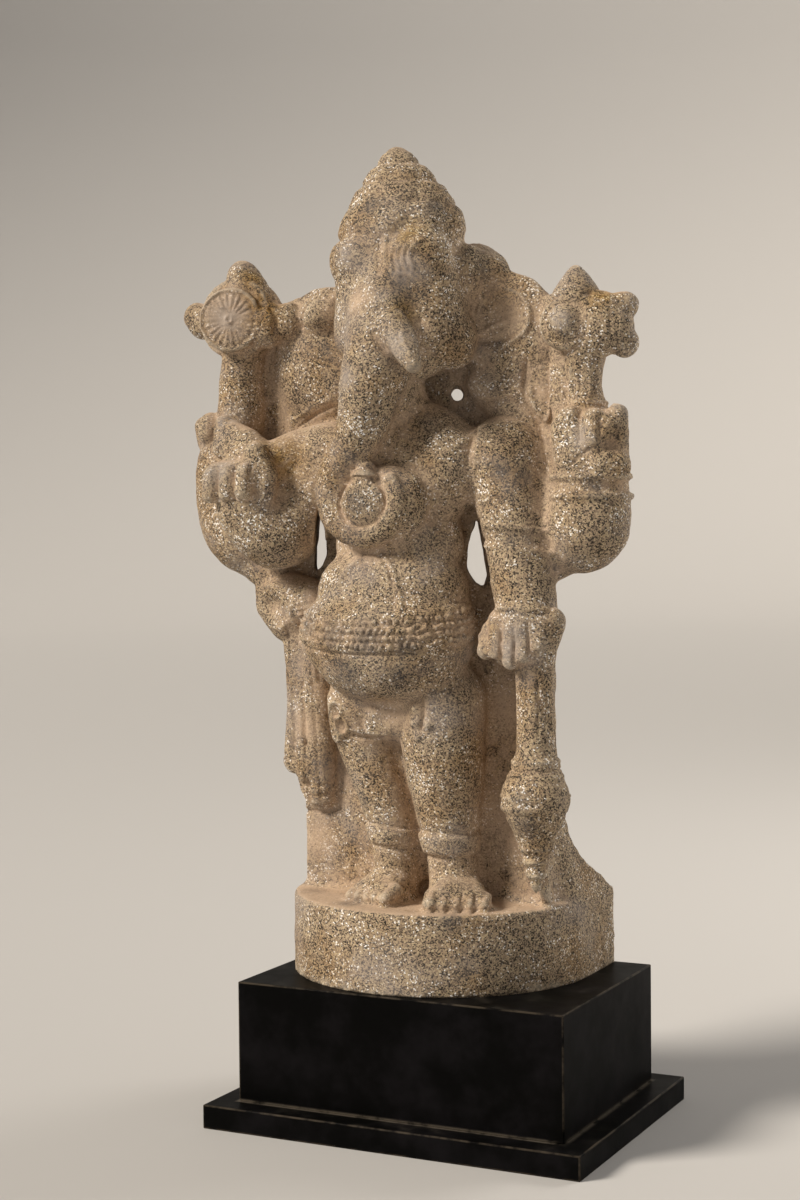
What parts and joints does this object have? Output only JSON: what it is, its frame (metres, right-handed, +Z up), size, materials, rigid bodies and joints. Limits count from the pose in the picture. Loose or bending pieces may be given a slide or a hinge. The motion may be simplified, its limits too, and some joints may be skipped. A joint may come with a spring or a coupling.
{
  "type": "elephant-headed deity stele on a wooden plinth",
  "caption": "Standing four-armed elephant-headed figure carved with back slab and round-fronted base from one granite block, on a black wooden plinth.",
  "frame": {"origin": "middle of the plinth board's underside", "axes": "+X to the viewer's right along the plinth's front, +Y to the back, +Z up"},
  "size_m": [0.415, 0.25, 0.8158],
  "materials": {
    "granite": "coarse carved granite with soft worn edges, cream, tan and black grain",
    "black_lacquer": "black satin lacquer on flat boards"
  },
  "bodies": {
    "root": {"stele": "granite", "plinth_box": "black_lacquer", "plinth_board": "black_lacquer"}
  },
  "joints": []
}
